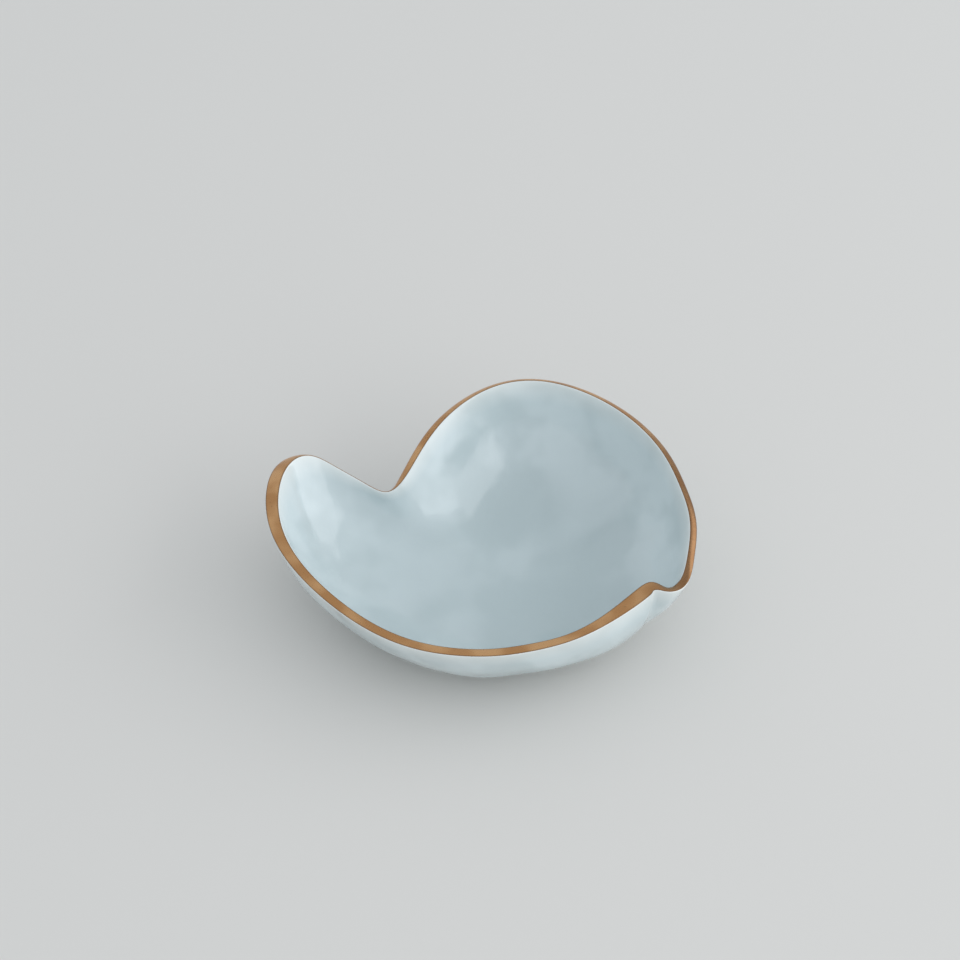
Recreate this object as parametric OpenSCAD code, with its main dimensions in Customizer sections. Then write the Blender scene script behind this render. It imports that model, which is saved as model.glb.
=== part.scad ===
// Ring dish: a small free-form porcelain bowl, pinched and cut by hand, with a deep notch in its
// back left lip, a finger dent at its front right, a gilded flat lip and a turned foot.
// Millimetres. +Z is up, +X is the dish's right and +Y its back. The origin lies on the table top,
// under the middle of the dish.

/* [Reach of the lip] */
// Reach of the lip's inner edge to the right of the origin
reach_right = 58.5; // [52:0.5:66]
// Reach of the lip's inner edge to the left of the origin
reach_left = 57; // [51:0.5:64]
// Reach of the lip's inner edge to the back
reach_back = 44; // [39:0.5:50]
// Reach of the lip's inner edge to the front
reach_front = 43.5; // [39:0.5:49]

/* [Height of the lip] */
// Height of the lip's inner edge at the back, its highest stretch
back_h = 40; // [36:0.5:46]
// Height of the lip's inner edge at the right end
right_h = 34; // [31:0.5:38]
// Height of the lip's inner edge at the front
front_h = 27; // [24:0.5:30]
// Height of the lip's inner edge at the left tip
tip_h = 34; // [30:0.5:38]
// Height of the lip's inner edge at the bottom of the notch
notch_h = 23; // [20:0.5:27]
// Height of the lip's inner edge in the dent
dent_h = 30; // [28:0.5:32]
// How much the pinched corner beside the dent stands above it
corner_rise = 1.8; // [1:0.1:2.6]

/* [Notch and dent] */
// Left of the origin to the bottom of the notch
notch_left = 27.5; // [24:0.5:31]
// Back of the origin to the bottom of the notch
notch_back = 16; // [13:0.5:19]
// Right of the origin to the dent
dent_right = 52.5; // [51:0.5:54]
// Front of the origin to the dent
dent_front = 24.5; // [23:0.5:26]

/* [Lip] */
// Thickness of the lip at the front and back
lip_t = 3.2; // [2.6:0.1:4]
// Thickness of the lip at the left tip
tip_lip_t = 4.3; // [3:0.1:5]
// Thickness of the lip where it was pinched before the dent
pinch_lip_t = 4.2; // [3:0.1:5]
// Thickness of the lip at the right end
right_lip_t = 2.6; // [2.2:0.1:3.6]
// Width of the white rounded edge left bare on either side of the gilding
arris = 0.4; // [0.3:0.1:0.8]
// Thickness of the gilding
gilt_t = 0.2; // [0.15:0.05:0.4]

/* [Body] */
// Thickness of the wall at its swell
wall_t = 4; // [3:0.2:5]
// Thickness of the floor over the foot
floor_t = 4; // [3:0.2:6]
// How far the floor stays level, as a share of the way out to the swell
floor_spread = 0.66; // [0.5:0.02:0.72]
// How far the underside stays level past the heel, as a share of the way out to the swell
heel_spread = 0.5; // [0.3:0.05:0.6]

/* [Foot] */
// Outside diameter of the foot ring
foot_od = 40; // [32:1:44]
// Width of the foot ring
foot_w = 4; // [3:0.5:6]
// Height of the foot ring
foot_h = 2.5; // [1.5:0.5:5]
// Bevel of the foot ring's lower edges
foot_bevel = 0.8; // [0.3:0.1:1]
// Width of the flat heel left outside the foot ring
heel_ledge = 2; // [1:0.5:3]
// Right of the origin to the middle of the foot
foot_x = 4; // [2:0.5:6]
// Back of the origin to the middle of the foot
foot_y = -1.5; // [-4:0.5:1]

/* [Hidden] */

glaze_colour = [0.78, 0.86, 0.87];
bisque_colour = [0.86, 0.83, 0.77];
gold_colour = [0.78, 0.60, 0.38];

// The lip's points are drawn at these reaches, and stretched to the reaches asked for
drawn_right = 58.5;
drawn_left = 57;
drawn_back = 44;
drawn_front = 43.5;

// Facets: steps of the lip between two of its points, and rings up each wall
lip_steps = 5;
inner_rings = 12;
outer_rings = 10;
smoothing_passes = 20;
ring_fn = 96;

// The inner wall follows the swell of the outer one, drawn in and raised by these shares of wall_t
swell_inset = 0.9;
swell_lift = 0.35;
// Shares of the arris at which its rounded edge has its middle row of points
arris_mid = 0.3;
// How late up the wall the finger marks fade out towards the lip
mark_fade = 6;
// Step that carries the smooth curve's controls towards its points
relax = 1.5;

floor_z = foot_h + floor_t;
heel_r = foot_od / 2 + heel_ledge;
foot_centre = [foot_x, foot_y, 0];

function mix(a, b, share) = a + (b - a) * share;
function unit(v) = v / norm(v);
function flatten(lists) = [for (l = lists) for (e = l) e];
function stretched(x, y) = [
    x * (x > 0 ? reach_right / drawn_right : reach_left / drawn_left),
    y * (y > 0 ? reach_back / drawn_back : reach_front / drawn_front)
];

// A point of the lip's inner edge: its place in plan, its height, how far the cut lip leans out
// from level, its thickness, and the direction in which the wall under it leaves the foot
function lip_point(x, y, z, lean, t, way) = concat(stretched(x, y), [z, lean, t, way]);
function notch_point(dx, dy, z, lean, t, way) = [dx - notch_left, dy + notch_back, z, lean, t, way];
function dent_point(dx, dy, z, lean, t, way) = [dx + dent_right, dy - dent_front, z, lean, t, way];

front_lip = [
    lip_point(0, -43.5, front_h, -8, lip_t, -94),
    lip_point(12, -42, front_h, -6, lip_t, -79),
    lip_point(23.5, -39, mix(front_h, dent_h, 0.2), -4, lip_t - 0.2, -64),
    lip_point(33.5, -33.5, mix(front_h, dent_h, 0.65), 2, lip_t + 0.2, -51)
];
dent_lip = [
    dent_point(-11, -2.5, dent_h + 0.5, 6, pinch_lip_t, -41),
    dent_point(-6, 0.5, dent_h + corner_rise, 0, pinch_lip_t - 0.2, -34),
    dent_point(-2.5, 0, dent_h + corner_rise / 2, -25, lip_t, -29),
    dent_point(0, 0, dent_h, -20, right_lip_t + 0.2, -25),
    dent_point(3, 3.5, dent_h, 8, right_lip_t, -20)
];
right_lip = [
    lip_point(57.5, -14, mix(dent_h, right_h, 0.4), 30, right_lip_t, -12),
    lip_point(58.5, -3.5, right_h, 30, right_lip_t, 0),
    lip_point(56, 7.5, mix(right_h, back_h, 0.35), 30, right_lip_t, 13),
    lip_point(51, 19.5, mix(right_h, back_h, 0.65), 32, right_lip_t + 0.2, 27)
];
back_lip = [
    lip_point(41.5, 31.5, mix(right_h, back_h, 0.85), 36, lip_t, 42),
    lip_point(29, 40, back_h, 38, lip_t + 0.2, 58),
    lip_point(16, 44, back_h, 39, lip_t + 0.2, 74),
    lip_point(4, 42.5, mix(notch_h, back_h, 0.94), 38, lip_t + 0.2, 89),
    lip_point(-6, 37, mix(notch_h, back_h, 0.8), 36, lip_t + 0.2, 103),
    lip_point(-13, 30.5, mix(notch_h, back_h, 0.6), 34, lip_t + 0.2, 116)
];
notch_lip = [
    notch_point(9.5, 8, mix(notch_h, back_h, 0.35), 36, lip_t + 0.2, 128),
    notch_point(5, 2, mix(notch_h, back_h, 0.12), 42, lip_t + 0.2, 139),
    notch_point(0, 0, notch_h, 52, lip_t + 0.2, 149),
    notch_point(-6.5, 3, mix(notch_h, tip_h, 0.1), 60, lip_t + 0.2, 158),
    notch_point(-14, 6.5, mix(notch_h, tip_h, 0.32), 60, lip_t + 0.2, 165)
];
tip_lip = [
    lip_point(-48, 24, mix(notch_h, tip_h, 0.6), 50, mix(lip_t, tip_lip_t, 0.4), 171),
    lip_point(-53, 20.5, mix(notch_h, tip_h, 0.82), 30, tip_lip_t, 177),
    lip_point(-56, 12.5, mix(notch_h, tip_h, 0.95), 15, tip_lip_t, 183),
    lip_point(-56.5, 2, tip_h, 12, tip_lip_t - 0.3, 191)
];
left_lip = [
    lip_point(-54.5, -7.5, mix(front_h, tip_h, 0.85), 14, mix(lip_t, tip_lip_t, 0.4), 200),
    lip_point(-49.5, -16.5, mix(front_h, tip_h, 0.6), 14, lip_t, 211),
    lip_point(-41, -26, mix(front_h, tip_h, 0.35), 10, lip_t - 0.2, 224),
    lip_point(-29, -35.5, mix(front_h, tip_h, 0.15), 2, lip_t - 0.2, 238),
    lip_point(-15, -41.5, front_h, -6, lip_t, 252)
];
lip_points = concat(front_lip, dent_lip, right_lip, back_lip, notch_lip, tip_lip, left_lip);

// The swell draws the wall outwards below the lip. Its radius and height are given every
// 30 degrees round the foot, counter-clockwise from +X
swell_points = [
    [49, 11], [52, 11], [46, 11], [38, 11], [28, 11], [32, 11],
    [55, 11], [53, 10], [45, 8], [44, 8], [46, 8], [53, 8]
];
swell_step = 360 / len(swell_points);

// Finger marks: place in plan, depth and radius. A negative depth is a low rise
inner_marks = [
    [19, 27, 0.4, 8], [31, 24, -0.35, 7], [44, 18, 0.4, 8], [41, 0, 0.35, 9],
    [11, -11, 0.4, 9], [-28, -8, 0.4, 10], [-6, 20, 0.3, 8], [25, -22, 0.3, 9]
];
outer_marks = [[10, -42, 0.9, 7], [-38, -24, 0.4, 9], [34, -30, -0.4, 8], [-16, 24, 0.5, 9]];
// Height above the foot from which the fingers press
press_h = 45;

// Controls of the closed smooth curve through the points. Each pass halves the error
function curve_controls(points, controls, passes) =
    let (n = len(points))
    passes == 0 ? controls :
    curve_controls(points, [
        for (i = [0:n - 1])
            controls[i] + relax * (points[i]
                - (controls[(i + n - 1) % n] + 4 * controls[i] + controls[(i + 1) % n]) / 6)
    ], passes - 1);

// The closed curve at u spans from its first point
function curve_at(controls, u) =
    let (
        n = len(controls),
        i = floor(u),
        t = u - i,
        before = pow(1 - t, 3),
        here = 3 * pow(t, 3) - 6 * pow(t, 2) + 4,
        next = -3 * pow(t, 3) + 3 * pow(t, 2) + 3 * t + 1,
        after = pow(t, 3)
    )
    (controls[(i + n - 1) % n] * before + controls[i % n] * here
        + controls[(i + 1) % n] * next + controls[(i + 2) % n] * after) / 6;

lip_controls = let (
    n = len(lip_points),
    evened = [for (i = [0:n - 1]) lip_points[i] - [0, 0, 0, 0, 0, 360 * i / n]]
) curve_controls(evened, evened, smoothing_passes);
swell_controls = curve_controls(swell_points, swell_points, smoothing_passes);

// The lip's samples, all round
lip_count = len(lip_points) * lip_steps;
lip_samples = [for (k = [0:lip_count - 1]) curve_at(lip_controls, k / lip_steps)
    + [0, 0, 0, 0, 0, 360 * k / lip_count]];

function sample_place(k) = let (s = lip_samples[(k + lip_count) % lip_count]) [s[0], s[1], s[2]];
function sample_run(k) = unit(sample_place(k + 1) - sample_place(k - 1));

// Across the cut lip from its inner to its outer edge, square to the lip's run
function lip_across(k) =
    let (
        run = sample_run(k),
        level = unit([run.y, -run.x, 0]),
        lean = lip_samples[k][3],
        tilted = cos(lean) * level - [0, 0, sin(lean)]
    )
    unit(tilted - (tilted * run) * run);
function lip_out(k) = cross(lip_across(k), sample_run(k));

// Places on the section of the lip: a share of the way across plus a distance, and a rise
function lip_at(k, share, inset, rise) =
    sample_place(k) + lip_across(k) * (lip_samples[k][4] * share + inset) + lip_out(k) * rise;

function way_of(k) = [cos(lip_samples[k][5]), sin(lip_samples[k][5]), 0];
function swell_of(k) = curve_at(swell_controls, (lip_samples[k][5] + 360) / swell_step);

// The swell of the wall over sample k, drawn in by the given amount and raised by another
function swell_at(k, inward, rise) =
    let (
        swell = swell_of(k),
        drawn = foot_centre + way_of(k) * (swell[0] - inward),
        plan = stretched(drawn.x, drawn.y)
    )
    [plan.x, plan.y, swell[1] + rise];

function bezier(a, b, c, d, u) =
    pow(1 - u, 3) * a + 3 * u * pow(1 - u, 2) * b + 3 * u * u * (1 - u) * c + pow(u, 3) * d;

// How deep the marks press the wall at a place in plan
function mark_sum(marks, x, y, i = 0) =
    i == len(marks) ? 0 :
    let (m = marks[i], d = norm([x - m[0], y - m[1]]) / m[3])
    m[2] * exp(-d * d) + mark_sum(marks, x, y, i + 1);
function pressed(p, marks, towards, share) =
    let (from = foot_centre + [0, 0, press_h])
    p + unit(p - from) * towards * share * mark_sum(marks, p.x, p.y);

// The inner wall runs from the middle of the floor to just below the lip's inner edge. The marks
// fade out towards the lip
function inner_point(k, u) =
    let (
        middle = foot_centre + [0, 0, floor_z],
        swell = swell_at(k, wall_t * swell_inset, wall_t * swell_lift),
        level = [swell.x, swell.y, floor_z],
        p = bezier(middle, mix(middle, level, floor_spread), swell, lip_at(k, 0, 0, -arris), u)
    )
    pressed(p, inner_marks, 1, 1 - pow(u, mark_fade));

// The outer wall runs from the edge of the flat heel to just below the lip's outer edge
function outer_point(k, u) =
    let (
        heel = foot_centre + way_of(k) * heel_r + [0, 0, foot_h],
        swell = swell_at(k, 0, 0),
        level = [swell.x, swell.y, foot_h],
        p = bezier(heel, mix(heel, level, heel_spread), swell, lip_at(k, 1, 0, -arris), u)
    )
    pressed(p, outer_marks, -1, u * (1 - pow(u, mark_fade)));

function ring(f) = [for (k = [0:lip_count - 1]) f(k)];
shell_rings = concat(
    [for (j = [1:inner_rings]) ring(function(k) inner_point(k, j / inner_rings))],
    [
        ring(function(k) lip_at(k, 0, arris * arris_mid, -arris * arris_mid)),
        ring(function(k) lip_at(k, 0, arris, 0)),
        ring(function(k) lip_at(k, 1, -arris, 0)),
        ring(function(k) lip_at(k, 1, -arris * arris_mid, -arris * arris_mid))
    ],
    [for (j = [0:outer_rings]) ring(function(k) outer_point(k, 1 - j / outer_rings))]
);

// The gilding covers the flat of the lip between the two rounded edges and is a little domed
gilt_rings = [
    ring(function(k) lip_at(k, 0, arris, 0)),
    ring(function(k) lip_at(k, 0, arris, gilt_t / 2)),
    ring(function(k) lip_at(k, 0.5, 0, gilt_t)),
    ring(function(k) lip_at(k, 1, -arris, gilt_t / 2)),
    ring(function(k) lip_at(k, 1, -arris, 0))
];

// Two triangles on each square between ring j and the next ring
function band(j, next, first) = [
    for (k = [0:lip_count - 1])
        let (
            k2 = (k + 1) % lip_count,
            a = first + j * lip_count + k,
            b = first + j * lip_count + k2,
            c = first + next * lip_count + k2,
            d = first + next * lip_count + k
        )
        for (face = [[a, b, d], [b, c, d]]) face
];

// The porcelain bowl: inner wall, cut lip and outer wall in one closed skin
module dish_shell() {
    points = concat(
        [pressed(foot_centre + [0, 0, floor_z], inner_marks, 1, 1)],
        flatten(shell_rings),
        [foot_centre + [0, 0, foot_h]]
    );
    last = len(shell_rings) - 1;
    under = len(points) - 1;
    floor_fan = [for (k = [0:lip_count - 1]) [0, 1 + (k + 1) % lip_count, 1 + k]];
    heel_fan = [for (k = [0:lip_count - 1])
        [under, 1 + last * lip_count + k, 1 + last * lip_count + (k + 1) % lip_count]];
    bands = flatten([for (j = [0:last - 1]) band(j, j + 1, 1)]);
    color(glaze_colour) polyhedron(points, concat(floor_fan, bands, heel_fan));
}

// The unglazed foot, turned as a ring, its top flat against the heel and its bottom flat
module foot_ring() {
    inner_r = foot_od / 2 - foot_w;
    outer_r = foot_od / 2;
    color(bisque_colour) translate(foot_centre) rotate_extrude($fn = ring_fn) polygon([
        [inner_r, foot_h],
        [inner_r, foot_bevel],
        [inner_r + foot_bevel, 0],
        [outer_r - foot_bevel, 0],
        [outer_r, foot_bevel],
        [outer_r, foot_h]
    ]);
}

// The fired gold band on the flat of the lip
module gilt_rim() {
    count = len(gilt_rings);
    color(gold_colour) polyhedron(
        flatten(gilt_rings),
        flatten([for (j = [0:count - 1]) band(j, (j + 1) % count, 0)])
    );
}

dish_shell();
foot_ring();
gilt_rim();
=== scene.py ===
"""Ring dish: a free-form glazed porcelain bowl with a gilded lip on a turned foot.

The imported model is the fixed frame. The bowl and its gilding are finished here from the frame's
own surfaces, with a glossy pale glaze and a fired gold lustre. The foot is the frame's own piece,
dressed as bare porcelain.
"""
import logging
import math
from dataclasses import dataclass
from enum import Enum
from typing import Iterable, Tuple, Union

import bmesh
import bpy
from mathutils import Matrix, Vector
from mathutils.kdtree import KDTree


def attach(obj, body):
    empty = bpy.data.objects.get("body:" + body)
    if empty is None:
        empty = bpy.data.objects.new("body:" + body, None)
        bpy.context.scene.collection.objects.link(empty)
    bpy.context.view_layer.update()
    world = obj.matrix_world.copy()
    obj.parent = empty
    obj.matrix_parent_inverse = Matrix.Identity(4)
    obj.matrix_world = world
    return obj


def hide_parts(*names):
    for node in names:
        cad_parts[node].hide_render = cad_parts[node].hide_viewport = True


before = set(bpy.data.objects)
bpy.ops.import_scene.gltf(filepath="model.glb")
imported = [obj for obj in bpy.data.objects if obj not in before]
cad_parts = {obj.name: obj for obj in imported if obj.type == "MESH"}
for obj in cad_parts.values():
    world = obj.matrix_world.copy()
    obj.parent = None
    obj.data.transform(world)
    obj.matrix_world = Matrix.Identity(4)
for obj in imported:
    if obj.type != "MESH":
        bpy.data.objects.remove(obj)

log = logging.getLogger("ring_dish")

MM = 0.001
Colour = Tuple[float, float, float, float]
Point = Tuple[float, float, float]
Span = Tuple[float, float]
Feed = Union[float, Colour, bpy.types.NodeSocket]
RISING: Span = (0.0, 1.0)
FALLING: Span = (1.0, 0.0)
LIP_ATTRIBUTE = "lip_edge"
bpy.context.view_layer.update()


class Surface(Enum):
    """The record's material slots of the pieces that are made here."""

    GLAZE = "glaze"
    GILDING = "gilding"


def srgb(red: int, green: int, blue: int) -> Colour:
    """Turns a colour as a screen shows it into the linear one that a shader reads.

    Args:
        red: Red, from 0 to 255.
        green: Green, from 0 to 255.
        blue: Blue, from 0 to 255.

    Returns:
        The linear colour, with an alpha of 1.
    """
    def linear(value: int) -> float:
        """Makes one channel of the colour linear."""
        share = value / 255
        return share / 12.92 if share <= 0.04045 else ((share + 0.055) / 1.055) ** 2.4
    return linear(red), linear(green), linear(blue), 1.0


def tree_of(places: Iterable[Vector]) -> KDTree:
    """Gathers places, so that the nearest one to a point is found fast.

    Args:
        places: The places.

    Returns:
        A tree of them.
    """
    listed = list(places)
    tree = KDTree(len(listed))
    for index, place in enumerate(listed):
        tree.insert(place, index)
    tree.balance()
    return tree


def new_object(name: str, mesh: bmesh.types.BMesh, material: bpy.types.Material) -> bpy.types.Object:
    """Puts a finished shape into the scene, and frees it.

    Args:
        name: The object's name.
        mesh: The shape, with its place in its corners.
        material: Its finish.

    Returns:
        The object, at the origin.
    """
    data = bpy.data.meshes.new(name)
    mesh.to_mesh(data)
    mesh.free()
    data.materials.append(material)
    thing = bpy.data.objects.new(name, data)
    bpy.context.scene.collection.objects.link(thing)
    return thing


@dataclass
class NodeSheet:
    """A node tree, with short calls that add nodes to it and feed their inputs."""

    tree: bpy.types.NodeTree

    def add(self, kind: str, **settings: object) -> bpy.types.Node:
        """Adds one node.

        Args:
            kind: Blender's name of the node's type.
            **settings: Attributes to set on the node.

        Returns:
            The new node.
        """
        node = self.tree.nodes.new(kind)
        for name, value in settings.items():
            setattr(node, name, value)
        return node

    def feed(self, target: bpy.types.NodeSocket, value: Feed) -> None:
        """Sets an input, or joins another node's output to it.

        Args:
            target: The input.
            value: A number, a colour or another node's output.
        """
        if isinstance(value, bpy.types.NodeSocket):
            self.tree.links.new(value, target)
        else:
            target.default_value = value

    def place(self) -> bpy.types.NodeSocket:
        """Gives the piece's own coordinates."""
        return self.add("ShaderNodeTexCoord").outputs["Object"]

    def along(self, axis: str) -> bpy.types.NodeSocket:
        """Gives one of the piece's own coordinates.

        Args:
            axis: X, Y or Z.

        Returns:
            How far along the axis a point lies.
        """
        node = self.add("ShaderNodeSeparateXYZ")
        self.feed(node.inputs["Vector"], self.place())
        return node.outputs[axis]

    def attribute(self, name: str) -> bpy.types.NodeSocket:
        """Gives an attribute of the mesh."""
        return self.add("ShaderNodeAttribute", attribute_name=name).outputs["Fac"]

    def noise(self, place: bpy.types.NodeSocket, scale: Feed, detail: float) -> bpy.types.NodeSocket:
        """Adds a noise texture.

        Args:
            place: Where the texture takes its coordinates from.
            scale: Cells to the metre.
            detail: Octaves of finer noise.

        Returns:
            The noise, around 0.5.
        """
        node = self.add("ShaderNodeTexNoise")
        for name, value in (("Vector", place), ("Scale", scale), ("Detail", detail)):
            self.feed(node.inputs[name], value)
        return node.outputs["Fac"]

    def reckon(self, operation: str, *values: Feed) -> bpy.types.NodeSocket:
        """Adds one math node.

        Args:
            operation: Blender's name of what it does.
            *values: What it does it to, in order.

        Returns:
            The result.
        """
        node = self.add("ShaderNodeMath", operation=operation)
        for socket, value in zip(node.inputs, values):
            self.feed(socket, value)
        return node.outputs["Value"]

    def spread(self, value: bpy.types.NodeSocket, across: Span, gives: Span) -> bpy.types.NodeSocket:
        """Maps a span of values to another one, smoothly and held at both ends.

        Args:
            value: The values to map.
            across: The span that is mapped, lower end first.
            gives: The results at its two ends.

        Returns:
            The mapped values.
        """
        node = self.add("ShaderNodeMapRange", interpolation_type="SMOOTHSTEP")
        self.feed(node.inputs["Value"], value)
        for name, end in zip(("From Min", "From Max", "To Min", "To Max"), across + gives):
            self.feed(node.inputs[name], end)
        return node.outputs["Result"]

    def blend(self, share: bpy.types.NodeSocket, first: Feed, second: Feed) -> bpy.types.NodeSocket:
        """Mixes two colours, each a fixed one or another node's output.

        Args:
            share: Share of the second colour.
            first: The first colour.
            second: The second colour.

        Returns:
            The mixed colour.
        """
        node = self.add("ShaderNodeMix", data_type="RGBA")
        self.feed(node.inputs["Factor"], share)
        for name, colour in (("A", first), ("B", second)):
            socket = next(i for i in node.inputs if i.name == name and i.type == "RGBA")
            self.feed(socket, colour)
        return next(o for o in node.outputs if o.type == "RGBA")


WAVE_DETAIL = 1.5
GRAIN_DETAIL = 4.0


def soft_unevenness_group() -> bpy.types.NodeTree:
    """Builds the shared group that makes a hand-worked surface uneven.

    Returns:
        A group that gives a broad wave, a fine grain and both added up as a height.
    """
    group = bpy.data.node_groups.new("hand_worked_unevenness", "ShaderNodeTree")
    group.interface.new_socket(name="Place", in_out="INPUT", socket_type="NodeSocketVector")
    for name in ("Wave Scale", "Grain Scale", "Grain Share"):
        group.interface.new_socket(name=name, in_out="INPUT", socket_type="NodeSocketFloat")
    for name in ("Wave", "Grain", "Height"):
        group.interface.new_socket(name=name, in_out="OUTPUT", socket_type="NodeSocketFloat")
    sheet = NodeSheet(group)
    asked = sheet.add("NodeGroupInput").outputs
    given = sheet.add("NodeGroupOutput").inputs
    wave = sheet.noise(asked["Place"], asked["Wave Scale"], WAVE_DETAIL)
    grain = sheet.noise(asked["Place"], asked["Grain Scale"], GRAIN_DETAIL)
    sheet.feed(given["Wave"], wave)
    sheet.feed(given["Grain"], grain)
    sheet.feed(given["Height"], sheet.reckon("MULTIPLY_ADD", grain, asked["Grain Share"], wave))
    return group


@dataclass(frozen=True)
class Unevenness:
    """How uneven one finish is.

    Attributes:
        wave_scale: Broad waves to the metre.
        grain_scale: Grains to the metre.
        grain_share: How much the grain adds to the height of the wave.
        strength: How strongly the height turns the light.
        depth: Depth of the unevenness.
    """

    wave_scale: float
    grain_scale: float
    grain_share: float
    strength: float
    depth: float

    def place_in(self, sheet: NodeSheet, group: bpy.types.NodeTree,
                 shader: bpy.types.Node) -> bpy.types.Node:
        """Adds the shared group and a bump that reads it.

        Args:
            sheet: The material's nodes.
            group: The shared group.
            shader: The shader that takes the bump.

        Returns:
            The group's node, for its wave and grain.
        """
        node = sheet.add("ShaderNodeGroup", node_tree=group)
        for name, value in (("Place", sheet.place()), ("Wave Scale", self.wave_scale),
                            ("Grain Scale", self.grain_scale), ("Grain Share", self.grain_share)):
            sheet.feed(node.inputs[name], value)
        bump = sheet.add("ShaderNodeBump")
        for name, value in (("Strength", self.strength), ("Distance", self.depth),
                            ("Height", node.outputs["Height"])):
            sheet.feed(bump.inputs[name], value)
        sheet.feed(shader.inputs["Normal"], bump.outputs["Normal"])
        return node


def new_material(name: str) -> Tuple[bpy.types.Material, NodeSheet, bpy.types.Node]:
    """Starts a material with its Principled shader.

    Args:
        name: The material's name.

    Returns:
        The material, its nodes and its shader.
    """
    material = bpy.data.materials.new(name)
    material.use_nodes = True
    sheet = NodeSheet(material.node_tree)
    shader = next(n for n in material.node_tree.nodes if n.type == "BSDF_PRINCIPLED")
    return material, sheet, shader


@dataclass(frozen=True)
class GlazeFinish:
    """A glossy pale blue-white glaze, clouded, darker low in the bowl where glaze ran together and where
    painted shade lies on the floor, and whiter on the lip's edges from thinner glaze and a painted
    highlight.

    Attributes:
        body: Colour of the glaze on the walls.
        cloud: Colour of its darker clouds.
        pooled_glaze_and_shade: Colour low in the bowl: glaze that ran together there, and painted shade
            on the bowl's floor.
        thin_glaze_and_highlight: Colour on the lip's edges: thinner glaze, and a painted highlight along
            them.
        cloud_scale: Clouds to the metre.
        cloud_detail: Octaves of finer cloud.
        cloud_noise: Noise at which a cloud starts and at which it is full.
        pool_and_shade_heights: Height up to which that darker colour is full, and height at which it
            ends.
        wave_noise: Low and high values of the broad wave.
        pool_and_shade_shares: How full that darker colour is at those two values.
        roughness: Roughness at those two values.
        ior: Index of refraction.
        coat_weight: Weight of the clear outer skin.
        coat_roughness: Roughness of that skin.
        unevenness: How uneven the glaze lies.
    """

    body: Colour = srgb(204, 216, 218)
    cloud: Colour = srgb(192, 205, 207)
    pooled_glaze_and_shade: Colour = srgb(184, 198, 200)
    thin_glaze_and_highlight: Colour = srgb(232, 234, 230)
    cloud_scale: float = 58.0
    cloud_detail: float = 2.0
    cloud_noise: Span = (0.42, 0.62)
    pool_and_shade_heights: Span = (7 * MM, 20 * MM)
    wave_noise: Span = (0.3, 0.7)
    pool_and_shade_shares: Span = (0.45, 1.0)
    roughness: Span = (0.10, 0.17)
    ior: float = 1.52
    coat_weight: float = 0.35
    coat_roughness: float = 0.04
    unevenness: Unevenness = Unevenness(50.0, 1500.0, 0.003, 0.6, 4.0 * MM)

    def make(self, group: bpy.types.NodeTree) -> bpy.types.Material:
        """Makes the material.

        Args:
            group: The shared unevenness group.

        Returns:
            The glaze.
        """
        material, sheet, shader = new_material("pale_glaze")
        wave = self.unevenness.place_in(sheet, group, shader).outputs["Wave"]
        # Darker low in the bowl, broken up by the broad wave: glaze that ran together there, and painted
        # shade on the floor.
        low_down = sheet.spread(sheet.along("Z"), self.pool_and_shade_heights, FALLING)
        pool_and_shade = sheet.reckon("MULTIPLY", low_down, sheet.spread(wave, self.wave_noise, self.pool_and_shade_shares))
        clouds = sheet.noise(sheet.place(), self.cloud_scale, self.cloud_detail)
        colour = sheet.blend(sheet.spread(clouds, self.cloud_noise, RISING), self.body, self.cloud)
        colour = sheet.blend(pool_and_shade, colour, self.pooled_glaze_and_shade)
        # Whiter along the lip's edges: thinner glaze, and a painted highlight.
        colour = sheet.blend(sheet.attribute(LIP_ATTRIBUTE), colour, self.thin_glaze_and_highlight)
        for name, value in (("Base Color", colour),
                            ("Roughness", sheet.spread(wave, self.wave_noise, self.roughness)),
                            ("IOR", self.ior), ("Coat Weight", self.coat_weight),
                            ("Coat Roughness", self.coat_roughness)):
            sheet.feed(shader.inputs[name], value)
        return material


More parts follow.
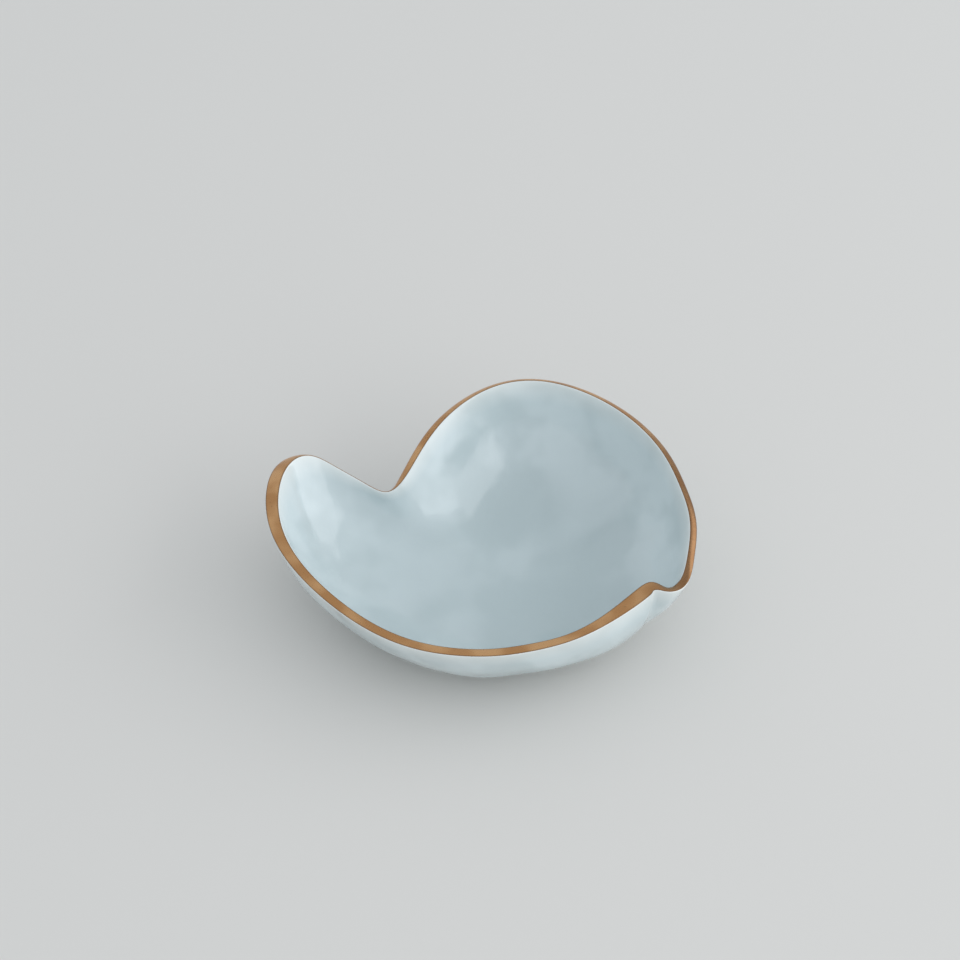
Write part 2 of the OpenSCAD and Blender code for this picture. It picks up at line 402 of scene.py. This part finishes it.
@dataclass(frozen=True)
class GildingFinish:
    """A fired gold lustre laid on with a brush: warm, satin, a little patchy and rubbed in dots, with
    painted shade along its edges and towards its right end.

    Attributes:
        bright: Colour of the gold where it lies thickest.
        deep: Colour between its bright patches.
        worn_and_shaded: Colour of rubbed dots, and of the painted shade along the gold's edges and
            towards its right end.
        patch_noise: Values of the broad wave at the deep and the bright colour.
        rub_noise: Values of the grain at which rubbed dots start and are full.
        rub_shares: How much of that colour the rubbed dots show at those values.
        edge_shade_marks: Lip attribute at the gold's edge, and where the painted shade line along it
            ends.
        edge_shade_shares: How much of the painted shade shows at those two.
        right_shade_reach: How far to the right the painted shade starts, and where it is darkest.
        right_shade_shares: How much of the painted shade shows at those two.
        grain_noise: Low and high values of the grain.
        roughness: Roughness at those two values.
        unevenness: How uneven the gold lies.
    """

    bright: Colour = srgb(212, 166, 118)
    deep: Colour = srgb(188, 140, 94)
    worn_and_shaded: Colour = srgb(124, 92, 66)
    patch_noise: Span = (0.35, 0.65)
    rub_noise: Span = (0.66, 0.78)
    rub_shares: Span = (0.0, 0.6)
    edge_shade_marks: Span = (0.8, 0.97)
    edge_shade_shares: Span = (0.85, 0.0)
    right_shade_reach: Span = (40 * MM, 60 * MM)
    right_shade_shares: Span = (0.0, 0.8)
    grain_noise: Span = (0.35, 0.7)
    roughness: Span = (0.26, 0.36)
    unevenness: Unevenness = Unevenness(120.0, 1200.0, 0.12, 0.2, 0.3 * MM)

    def make(self, group: bpy.types.NodeTree) -> bpy.types.Material:
        """Makes the material.

        Args:
            group: The shared unevenness group.

        Returns:
            The gilding.
        """
        material, sheet, shader = new_material("fired_gold")
        uneven = self.unevenness.place_in(sheet, group, shader)
        grain = uneven.outputs["Grain"]
        patches = sheet.spread(uneven.outputs["Wave"], self.patch_noise, RISING)
        colour = sheet.blend(patches, self.deep, self.bright)
        # Rubbed dots are real wear; the dark line along the gold's edges and the darkening towards its
        # right end are painted shade.
        for value, across, shares in (
                (grain, self.rub_noise, self.rub_shares),
                (sheet.attribute(LIP_ATTRIBUTE), self.edge_shade_marks, self.edge_shade_shares),
                (sheet.along("X"), self.right_shade_reach, self.right_shade_shares)):
            colour = sheet.blend(sheet.spread(value, across, shares), colour, self.worn_and_shaded)
        for name, value in (("Base Color", colour), ("Metallic", 1.0),
                            ("Roughness", sheet.spread(grain, self.grain_noise, self.roughness))):
            sheet.feed(shader.inputs[name], value)
        return material


@dataclass(frozen=True)
class BisqueFinish:
    """Bare fired porcelain on the foot: matt, warm white and faintly speckled.

    Attributes:
        clay: Colour of the clay.
        dusty: Colour of its dustier patches.
        speckle: Colour of the speckles.
        patch_noise: Values of the broad wave at the clay's colour and the dusty one.
        speckle_noise: Values of the grain at which speckles start and are full.
        speckle_shares: How much of their colour they show at those values.
        grain_noise: Low and high values of the grain.
        roughness: Roughness at those two values.
        unevenness: How uneven the clay is.
    """

    clay: Colour = srgb(226, 220, 208)
    dusty: Colour = srgb(202, 194, 180)
    speckle: Colour = srgb(150, 138, 120)
    patch_noise: Span = (0.35, 0.65)
    speckle_noise: Span = (0.7, 0.76)
    speckle_shares: Span = (0.0, 0.8)
    grain_noise: Span = (0.3, 0.7)
    roughness: Span = (0.72, 0.9)
    unevenness: Unevenness = Unevenness(90.0, 2600.0, 0.5, 0.3, 0.25 * MM)

    def make(self, group: bpy.types.NodeTree) -> bpy.types.Material:
        """Makes the material.

        Args:
            group: The shared unevenness group.

        Returns:
            The bisque.
        """
        material, sheet, shader = new_material("bare_bisque")
        uneven = self.unevenness.place_in(sheet, group, shader)
        grain = uneven.outputs["Grain"]
        patches = sheet.spread(uneven.outputs["Wave"], self.patch_noise, RISING)
        colour = sheet.blend(patches, self.clay, self.dusty)
        speckles = sheet.spread(grain, self.speckle_noise, self.speckle_shares)
        sheet.feed(shader.inputs["Base Color"], sheet.blend(speckles, colour, self.speckle))
        sheet.feed(shader.inputs["Roughness"], sheet.spread(grain, self.grain_noise, self.roughness))
        return material


@dataclass
class PorcelainShell:
    """The pinched and cut bowl, smoothed from the frame's own surface.

    Attributes:
        node: The frame's node that the bowl stands for.
        gilt_node: The node whose corners mark the flat of the lip.
        levels: Subdivision levels, on screen and in a render.
        merge: Distance under which two corners are one.
        edge_width: How far the whiter edge colour, thinner glaze and a painted highlight, reaches from
            the flat of the lip.
    """

    node: str = "dish_shell"
    gilt_node: str = "gilt_rim"
    levels: int = 2
    merge: float = 0.004 * MM
    edge_width: float = 1.0 * MM

    def quads(self) -> bmesh.types.BMesh:
        """Copies the node's mesh, merges its corners and pairs its triangles.

        Returns:
            The mesh, to be freed by its user.
        """
        mesh = bmesh.new()
        mesh.from_mesh(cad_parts[self.node].data)
        bmesh.ops.remove_doubles(mesh, verts=mesh.verts, dist=self.merge)
        bmesh.ops.join_triangles(mesh, faces=mesh.faces, angle_face_threshold=math.pi,
                                 angle_shape_threshold=math.pi)
        return mesh

    def mark_lip(self, mesh: bmesh.types.BMesh) -> None:
        """Writes the lip attribute: 1 on the flat of the lip, fading to 0 past its edges.

        Args:
            mesh: The bowl's mesh.
        """
        flat = tree_of(v.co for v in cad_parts[self.gilt_node].data.vertices)
        fade = mesh.verts.layers.float.new(LIP_ATTRIBUTE)
        for vertex in mesh.verts:
            distance = flat.find(vertex.co)[2]
            vertex[fade] = max(0.0, 1.0 - distance / self.edge_width)

    def build(self, glaze: bpy.types.Material) -> bpy.types.Object:
        """Makes the bowl.

        Args:
            glaze: The bowl's finish.

        Returns:
            The bowl.
        """
        mesh = self.quads()
        self.mark_lip(mesh)
        for face in mesh.faces:
            face.smooth = True
        odd = sum(len(face.verts) != 4 for face in mesh.faces)
        log.info("bowl: %d faces, %d of them not four-sided", len(mesh.faces), odd)
        bowl = new_object("porcelain_bowl", mesh, glaze)
        smooth = bowl.modifiers.new("smooth", "SUBSURF")
        smooth.levels = smooth.render_levels = self.levels
        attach(bowl, "root")
        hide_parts(self.node)
        return bowl


@dataclass
class GiltBand:
    """The gold laid on the lip, lifted from the finished bowl's own surface.

    Attributes:
        node: The frame's node that the band stands for.
        reach: Least value of the lip attribute that the brush covered.
        edge_lift: How far the gold's edges stand above the porcelain.
        crown: How much higher its middle stands.
        crown_reach: How far from an edge the crown is full.
    """

    node: str = "gilt_rim"
    reach: float = 0.8
    edge_lift: float = 0.05 * MM
    crown: float = 0.12 * MM
    crown_reach: float = 1.6 * MM

    def covered(self, bowl: bpy.types.Object) -> bmesh.types.BMesh:
        """Copies the part of the bowl's smoothed surface that the brush covered.

        Args:
            bowl: The finished bowl.

        Returns:
            The mesh, to be freed by its user.
        """
        bpy.context.view_layer.update()
        finished = bowl.evaluated_get(bpy.context.evaluated_depsgraph_get())
        mesh = bmesh.new()
        mesh.from_mesh(finished.to_mesh())
        finished.to_mesh_clear()
        fade = mesh.verts.layers.float[LIP_ATTRIBUTE]
        bare = [f for f in mesh.faces
                if sum(v[fade] for v in f.verts) / len(f.verts) < self.reach]
        bmesh.ops.delete(mesh, geom=bare, context="FACES")
        return mesh

    def thicken(self, mesh: bmesh.types.BMesh) -> None:
        """Gives the covered surface its thickness, domed between its edges.

        Args:
            mesh: The covered surface.
        """
        mesh.normal_update()
        border = tree_of(v.co for v in mesh.verts if v.is_boundary)
        lift = mesh.verts.layers.float_vector.new("lift")
        for vertex in mesh.verts:
            inset = min(1.0, border.find(vertex.co)[2] / self.crown_reach)
            height = self.edge_lift + self.crown * inset * (2.0 - inset)
            vertex[lift] = vertex.normal * height
        top = bmesh.ops.extrude_face_region(mesh, geom=list(mesh.faces), use_keep_orig=True)["geom"]
        for vertex in (v for v in top if isinstance(v, bmesh.types.BMVert)):
            vertex.co += vertex[lift]
        mesh.verts.layers.float_vector.remove(lift)
        bmesh.ops.recalc_face_normals(mesh, faces=mesh.faces)
        for face in mesh.faces:
            face.smooth = True

    def build(self, bowl: bpy.types.Object, gold: bpy.types.Material) -> bpy.types.Object:
        """Makes the band.

        Args:
            bowl: The finished bowl.
            gold: The band's finish.

        Returns:
            The band.
        """
        mesh = self.covered(bowl)
        self.thicken(mesh)
        log.info("gilt band: %d faces", len(mesh.faces))
        band = new_object("gilt_band", mesh, gold)
        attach(band, "root")
        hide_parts(self.node)
        return band


@dataclass
class TurnedFoot:
    """The turned foot ring, which keeps the frame's own shape.

    Attributes:
        node: The frame's node that is the foot.
    """

    node: str = "foot_ring"

    def dress(self, bisque: bpy.types.Material) -> bpy.types.Object:
        """Gives the foot its finish.

        Args:
            bisque: The foot's finish.

        Returns:
            The foot.
        """
        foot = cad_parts[self.node]
        foot.data.materials.clear()
        foot.data.materials.append(bisque)
        return foot


@dataclass
class Studio:
    """A pale floor, an even sky, one wide soft lamp and the camera at the photograph's angle.

    Attributes:
        pitch: How far the camera looks down, in degrees.
        aim_back: How far behind the origin the camera aims, on the table top.
        distance: How far the camera stands from the point that it aims at.
        lens: Focal length in millimetres.
        sensor: Width of the camera's sensor in millimetres.
        near: Nearest distance that the camera shows.
        floor_radius: Radius of the round floor.
        floor_sides: Sides of the floor.
        floor_colour: Colour of the floor.
        floor_roughness: Roughness of the floor.
        sky_colour: Colour of the light from all round.
        sky_strength: Its strength on matt surfaces.
        backdrop_strength: Its strength as the camera and a mirror see it.
        lamp_place: Where the middle of the lamp is.
        lamp_size: Width and height of the lamp.
        lamp_power: Power of the lamp in watts.
        lamp_colour: Colour of the lamp.
    """

    pitch: float = 49.0
    aim_back: float = 40.5 * MM
    distance: float = 753 * MM
    lens: float = 93.75
    sensor: float = 36.0
    near: float = 10 * MM
    floor_radius: float = 3.0
    floor_sides: int = 96
    floor_colour: Colour = srgb(214, 212, 208)
    floor_roughness: float = 0.85
    sky_colour: Colour = srgb(236, 241, 246)
    sky_strength: float = 0.92
    backdrop_strength: float = 0.8
    lamp_place: Point = (1.30, -0.26, 0.60)
    lamp_size: Span = (2.6, 1.2)
    lamp_power: float = 13.5
    lamp_colour: Colour = srgb(252, 253, 255)

    def build(self) -> None:
        """Sets up the floor, the light and the camera."""
        self.build_floor()
        self.build_sky()
        self.build_lamp()
        self.build_camera()
        bpy.context.scene.view_settings.view_transform = "Standard"

    def build_floor(self) -> None:
        """Lays the floor under the dish."""
        mesh = bmesh.new()
        bmesh.ops.create_circle(mesh, cap_ends=True, segments=self.floor_sides, radius=self.floor_radius)
        material, sheet, shader = new_material("pale_floor")
        sheet.feed(shader.inputs["Base Color"], self.floor_colour)
        sheet.feed(shader.inputs["Roughness"], self.floor_roughness)
        new_object("floor", mesh, material)

    def build_sky(self) -> None:
        """Gives the room around the dish an even pale light."""
        world = bpy.data.worlds.new("room")
        world.use_nodes = True
        bpy.context.scene.world = world
        background = next(n for n in world.node_tree.nodes if n.type == "BACKGROUND")
        sheet = NodeSheet(world.node_tree)
        ray = sheet.add("ShaderNodeLightPath").outputs
        seen = sheet.reckon("MAXIMUM", ray["Is Camera Ray"], ray["Is Glossy Ray"])
        strength = sheet.spread(seen, RISING, (self.sky_strength, self.backdrop_strength))
        sheet.feed(background.inputs["Color"], self.sky_colour)
        sheet.feed(background.inputs["Strength"], strength)

    def build_lamp(self) -> None:
        """Hangs the lamp at the dish's right and turns it to the dish."""
        data = bpy.data.lights.new("window", "AREA")
        data.shape = "RECTANGLE"
        data.size, data.size_y = self.lamp_size
        data.energy = self.lamp_power
        data.color = self.lamp_colour[:3]
        lamp = bpy.data.objects.new("window", data)
        place = Vector(self.lamp_place)
        lamp.location = place
        lamp.rotation_euler = (-place).to_track_quat("-Z", "Y").to_euler()
        bpy.context.scene.collection.objects.link(lamp)

    def build_camera(self) -> None:
        """Stands the camera where the photograph was taken from."""
        data = bpy.data.cameras.new("camera")
        data.sensor_width = self.sensor
        data.lens = self.lens
        data.clip_start = self.near
        camera = bpy.data.objects.new("camera", data)
        down = math.radians(self.pitch)
        behind = self.aim_back - self.distance * math.cos(down)
        camera.location = (0.0, behind, self.distance * math.sin(down))
        camera.rotation_euler = (math.radians(90.0) - down, 0.0, 0.0)
        bpy.context.scene.collection.objects.link(camera)
        bpy.context.scene.camera = camera


def main() -> None:
    """Builds the dish and its surroundings, in order."""
    logging.basicConfig(level=logging.INFO, format="%(name)s: %(message)s")
    group = soft_unevenness_group()
    bowl = PorcelainShell().build(GlazeFinish().make(group))
    log.info("built %s", bowl.name)
    band = GiltBand().build(bowl, GildingFinish().make(group))
    log.info("built %s", band.name)
    foot = TurnedFoot().dress(BisqueFinish().make(group))
    log.info("dressed %s", foot.name)
    Studio().build()


if __name__ == "__main__":
    main()
